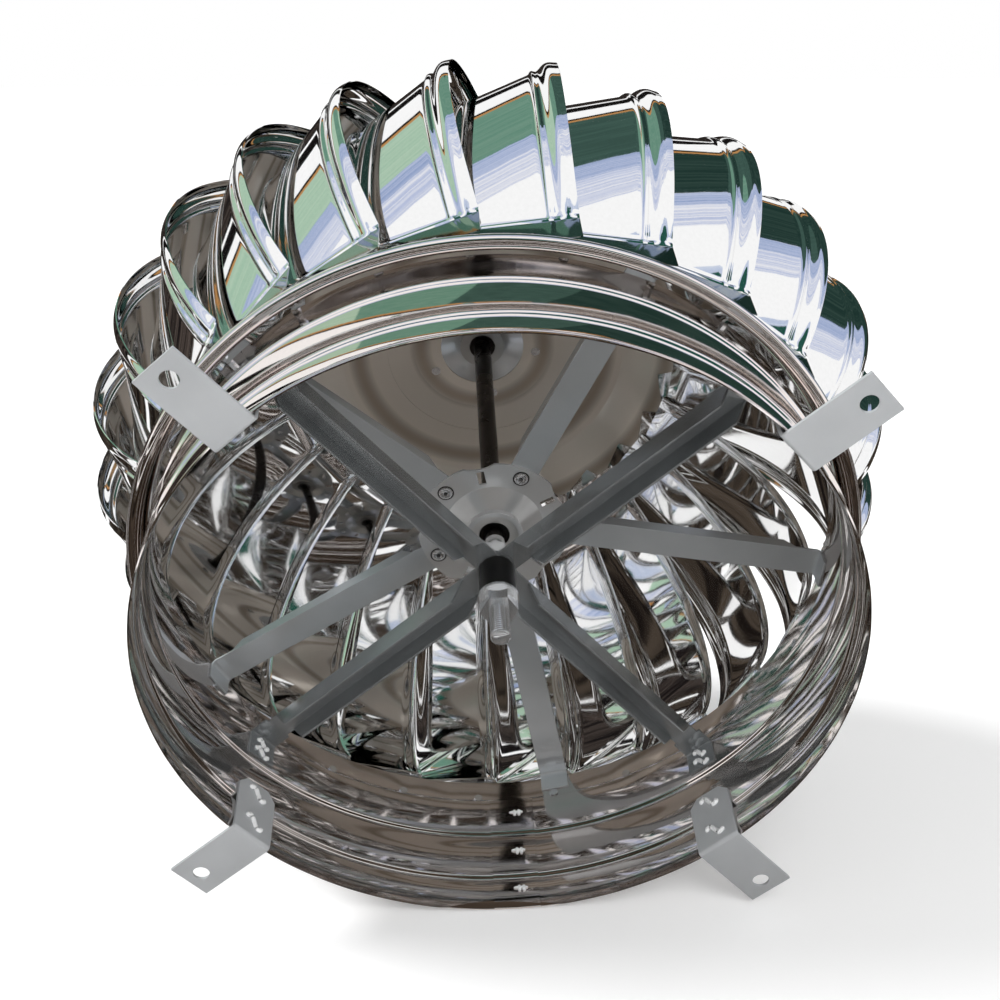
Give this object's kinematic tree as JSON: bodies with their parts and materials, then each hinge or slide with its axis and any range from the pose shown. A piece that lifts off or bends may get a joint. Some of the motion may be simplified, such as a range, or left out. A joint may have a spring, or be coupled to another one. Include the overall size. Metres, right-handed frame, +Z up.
{
  "type": "rotating chimney cowl",
  "caption": "Wind-driven rotating cowl: curved polished vanes on a ring turn on a central shaft above a fixed round collar with bolt-down feet.",
  "frame": {"origin": "where the shaft axis meets the plane of the undersides of the feet", "axes": "+Z up along the shaft axis, out of the duct; +X at 52 degrees from the first foot, measured clockwise from above"},
  "size_m": [0.508, 0.5081, 0.3755],
  "materials": {
    "polished_stainless": "mirror polished stainless sheet",
    "zinc_plated_steel": "zinc-plated steel, satin",
    "dark_steel": "blackened steel",
    "bearing_steel": "ground bearing steel"
  },
  "bodies": {
    "base": {"collar": "polished_stainless", "foot_bracket_1": "zinc_plated_steel", "foot_bracket_2": "zinc_plated_steel", "foot_bracket_3": "zinc_plated_steel", "foot_bracket_4": "zinc_plated_steel", "spider_bar_lower": "zinc_plated_steel", "spider_bar_upper": "zinc_plated_steel", "shaft": "dark_steel", "lower_nut": "zinc_plated_steel", "lower_washer": "zinc_plated_steel", "spacer_bush": "dark_steel", "upper_washer": "zinc_plated_steel", "upper_nut": "zinc_plated_steel", "lower_bearing_inner_ring": "bearing_steel", "upper_bearing_inner_ring": "bearing_steel", "shaft_clip": "dark_steel", "top_nut": "zinc_plated_steel"},
    "rotor": {"skirt_ring": "polished_stainless", "vane_01": "polished_stainless", "vane_02": "polished_stainless", "vane_03": "polished_stainless", "vane_04": "polished_stainless", "vane_05": "polished_stainless", "vane_06": "polished_stainless", "vane_07": "polished_stainless", "vane_08": "polished_stainless", "vane_09": "polished_stainless", "vane_10": "polished_stainless", "vane_11": "polished_stainless", "vane_12": "polished_stainless", "vane_13": "polished_stainless", "vane_14": "polished_stainless", "vane_15": "polished_stainless", "vane_16": "polished_stainless", "vane_17": "polished_stainless", "vane_18": "polished_stainless", "vane_19": "polished_stainless", "vane_20": "polished_stainless", "vane_21": "polished_stainless", "vane_22": "polished_stainless", "vane_23": "polished_stainless", "vane_24": "polished_stainless", "vane_25": "polished_stainless", "arm_1": "zinc_plated_steel", "arm_2": "zinc_plated_steel", "arm_3": "zinc_plated_steel", "arm_4": "zinc_plated_steel", "arm_5": "zinc_plated_steel", "roof_plate": "polished_stainless", "roof_dish": "polished_stainless", "bearing_cap": "polished_stainless", "lower_bearing_plate": "zinc_plated_steel", "upper_bearing_plate": "zinc_plated_steel", "lower_bearing_outer_ring": "bearing_steel", "upper_bearing_outer_ring": "bearing_steel", "lower_plate_rivets": "zinc_plated_steel", "upper_plate_rivets": "zinc_plated_steel", "vane_foot_rivets": "polished_stainless"}
  },
  "joints": [
    {"name": "rotor_spin", "type": "hinge", "parent": "base", "child": "rotor", "pos_m": [0, 0, 0.1225], "axis": [0, 0, 1], "continuous": true}
  ]
}
